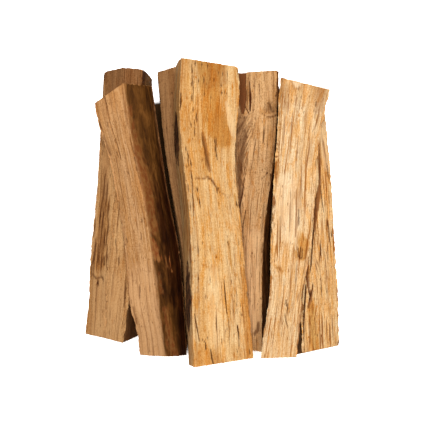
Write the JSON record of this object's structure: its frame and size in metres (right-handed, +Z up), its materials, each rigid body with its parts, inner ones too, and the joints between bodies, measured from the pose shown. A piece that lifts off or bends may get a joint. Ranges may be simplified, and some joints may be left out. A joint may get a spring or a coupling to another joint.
{
  "type": "stack of split firewood",
  "caption": "Loose two-layer stack of split firewood logs, sawn at both ends, with rough split faces, cracks, knots and bark remnants.",
  "frame": {"origin": "middle of the stack's bounding box, on the surface that it lies on", "axes": "+Z up, +Y along the logs from their foot ends to their head ends, +X to the right across them, seen from above"},
  "size_m": [0.378, 0.4228, 0.15],
  "materials": {
    "log_left_lower_wood": "split, brown and weathered, satin-dull",
    "log_left_upper_wood": "split face pale, bark side dark brown, dull",
    "log_centre_left_lower_wood": "split, grey-brown, dull",
    "log_centre_upper_wood": "split, golden, with bark remnants, dull",
    "log_centre_right_lower_wood": "split, greyish tan, with a knot, dull",
    "log_right_upper_wood": "split, pale and fibrous, dull",
    "log_right_lower_wood": "split, orange-tan and streaky, dull"
  },
  "bodies": {
    "root": {"log_left_lower": "log_left_lower_wood", "log_left_upper": "log_left_upper_wood", "log_centre_left_lower": "log_centre_left_lower_wood", "log_centre_upper": "log_centre_upper_wood", "log_centre_right_lower": "log_centre_right_lower_wood", "log_right_upper": "log_right_upper_wood", "log_right_lower": "log_right_lower_wood"}
  },
  "joints": []
}
